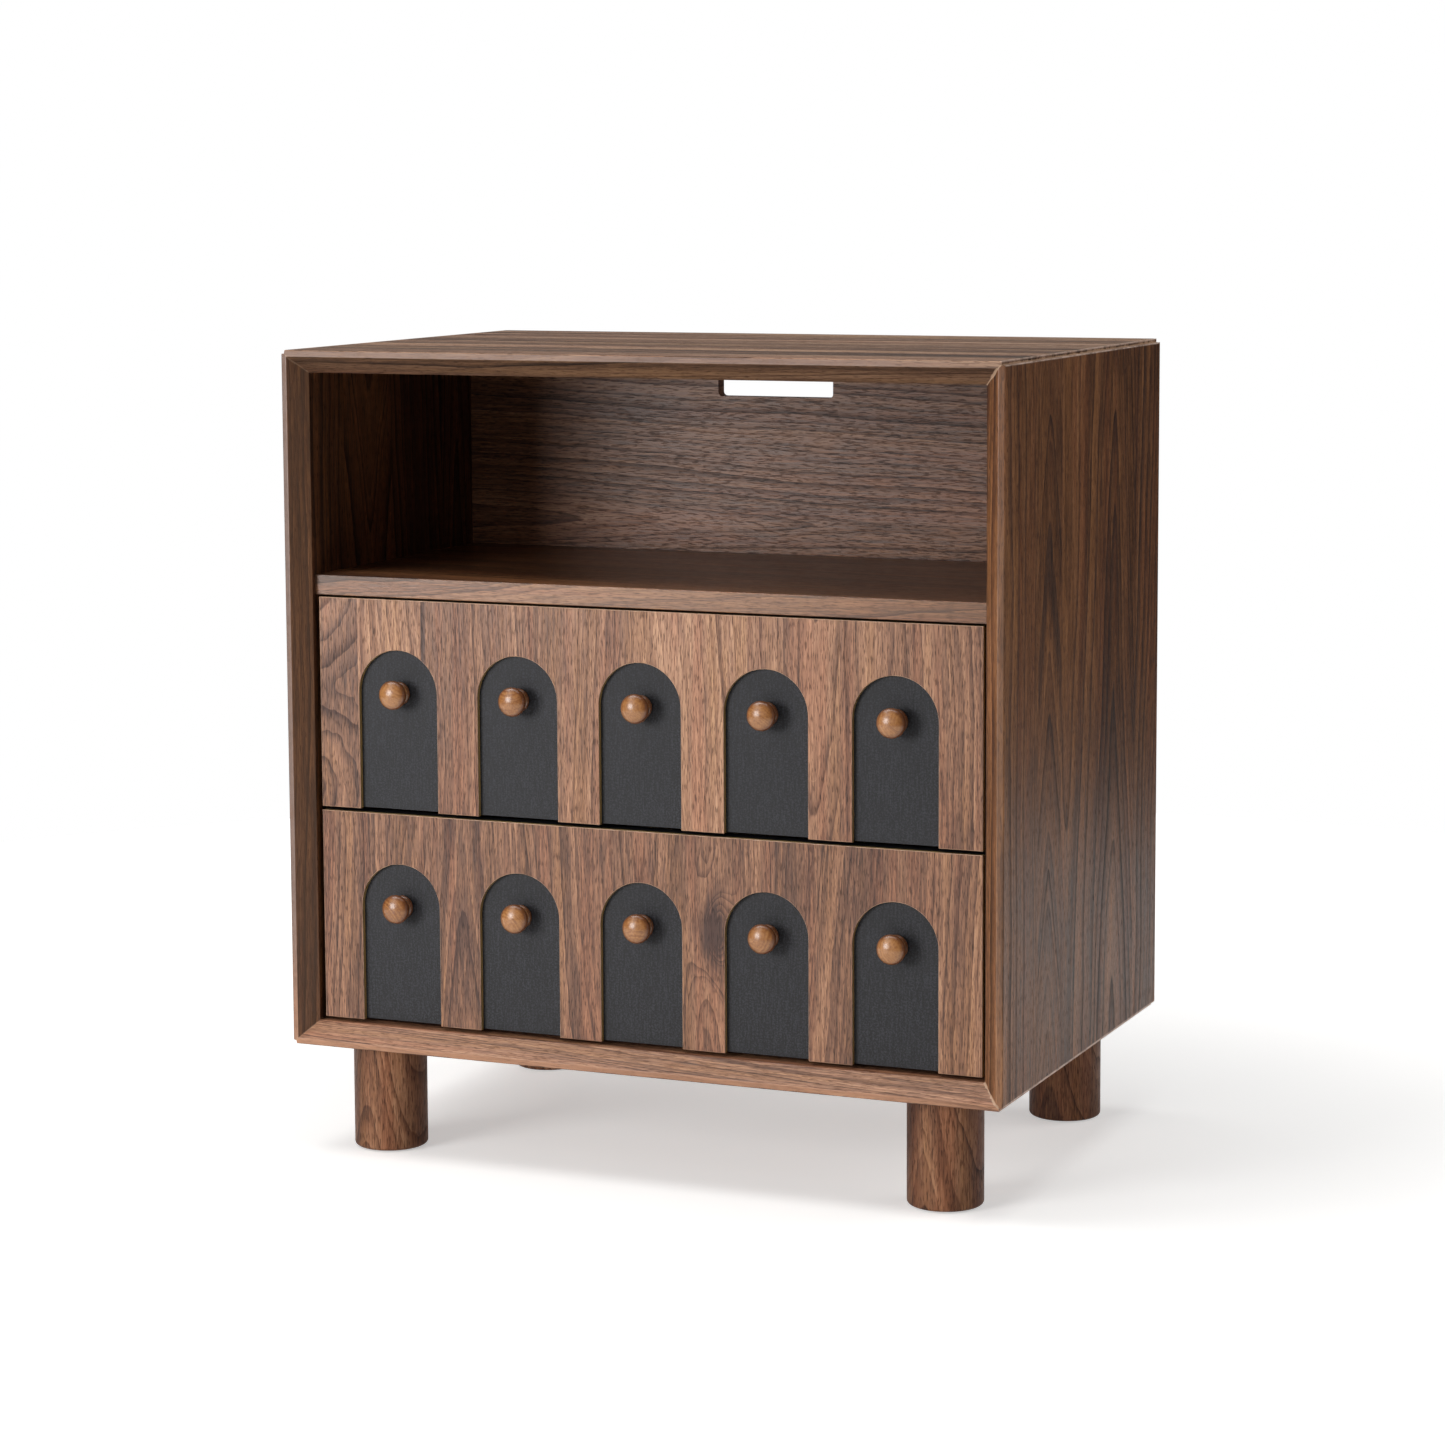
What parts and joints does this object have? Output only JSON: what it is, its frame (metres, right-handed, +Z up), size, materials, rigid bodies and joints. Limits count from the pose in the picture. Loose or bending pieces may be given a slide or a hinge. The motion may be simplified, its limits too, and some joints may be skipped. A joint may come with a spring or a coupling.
{
  "type": "bedside cabinet",
  "caption": "Bedside cabinet with an open bay over drawers on ball-bearing slides, in a mitred casing with a bevelled front, on round legs.",
  "frame": {"origin": "on the floor, under the middle of the casing's footprint", "axes": "+X to the right seen from the front, +Y to the back, +Z up; the front faces -Y"},
  "size_m": [0.6, 0.3928, 0.644],
  "materials": {
    "walnut_casing": "satin walnut veneer",
    "walnut_face": "satin walnut veneer, lighter figure",
    "walnut_leg": "satin walnut",
    "knob_wood": "gloss varnish",
    "black_board": "matt black lacquered board",
    "drawer_board": "clear-lacquered plywood",
    "dowel_beech": "bare beech",
    "slide_steel": "zinc-plated sheet",
    "screw_steel": "zinc-plated",
    "zinc_casting": "bare zinc casting",
    "felt": "dense felt"
  },
  "bodies": {
    "casing": {"back_panel": "walnut_casing", "bottom_panel": "walnut_casing", "cabinet_slide_screws": "screw_steel", "casing_dowels": "dowel_beech", "divider_shelf": "walnut_casing", "foot_pads": "felt", "front_left_leg": "walnut_leg", "front_right_leg": "walnut_leg", "left_side_panel": "walnut_casing", "leg_bolts": "screw_steel", "leg_inserts": "zinc_casting", "lower_left_slide_cabinet_member": "slide_steel", "lower_right_slide_cabinet_member": "slide_steel", "rear_left_leg": "walnut_leg", "rear_right_leg": "walnut_leg", "right_side_panel": "walnut_casing", "shelf_cam_bolts": "screw_steel", "shelf_cam_locks": "zinc_casting", "top_panel": "walnut_casing", "upper_left_slide_cabinet_member": "slide_steel", "upper_right_slide_cabinet_member": "slide_steel"},
    "upper_drawer": {"upper_drawer_back": "drawer_board", "upper_drawer_backing": "black_board", "upper_drawer_bottom": "drawer_board", "upper_drawer_dowels": "dowel_beech", "upper_drawer_face": "walnut_face", "upper_drawer_left_side": "drawer_board", "upper_drawer_right_side": "drawer_board", "upper_drawer_slide_screws": "screw_steel", "upper_knob_1": "knob_wood", "upper_knob_2": "knob_wood", "upper_knob_3": "knob_wood", "upper_knob_4": "knob_wood", "upper_knob_5": "knob_wood", "upper_knob_screws": "screw_steel", "upper_left_slide_drawer_member": "slide_steel", "upper_right_slide_drawer_member": "slide_steel"},
    "lower_drawer": {"lower_drawer_back": "drawer_board", "lower_drawer_backing": "black_board", "lower_drawer_bottom": "drawer_board", "lower_drawer_dowels": "dowel_beech", "lower_drawer_face": "walnut_face", "lower_drawer_left_side": "drawer_board", "lower_drawer_right_side": "drawer_board", "lower_drawer_slide_screws": "screw_steel", "lower_knob_1": "knob_wood", "lower_knob_2": "knob_wood", "lower_knob_3": "knob_wood", "lower_knob_4": "knob_wood", "lower_knob_5": "knob_wood", "lower_knob_screws": "screw_steel", "lower_left_slide_drawer_member": "slide_steel", "lower_right_slide_drawer_member": "slide_steel"},
    "upper_slide_middles": {"upper_left_slide_middle_member": "slide_steel", "upper_right_slide_middle_member": "slide_steel", "upper_slide_ball_cages": "slide_steel"},
    "lower_slide_middles": {"lower_left_slide_middle_member": "slide_steel", "lower_right_slide_middle_member": "slide_steel", "lower_slide_ball_cages": "slide_steel"}
  },
  "joints": [
    {"name": "upper_drawer_slide", "type": "slide", "parent": "casing", "child": "upper_drawer", "axis": [0, -1, 0], "range_m": [0, 0.25]},
    {"name": "lower_drawer_slide", "type": "slide", "parent": "casing", "child": "lower_drawer", "axis": [0, -1, 0], "range_m": [0, 0.25]},
    {"name": "upper_slide_extension", "type": "slide", "parent": "casing", "child": "upper_slide_middles", "axis": [0, -1, 0], "range_m": [0, 0.125]},
    {"name": "lower_slide_extension", "type": "slide", "parent": "casing", "child": "lower_slide_middles", "axis": [0, -1, 0], "range_m": [0, 0.125]}
  ],
  "couplings": [
    {"joint": "upper_slide_extension", "follows": "upper_drawer_slide", "ratio": 0.5},
    {"joint": "lower_slide_extension", "follows": "lower_drawer_slide", "ratio": 0.5}
  ]
}
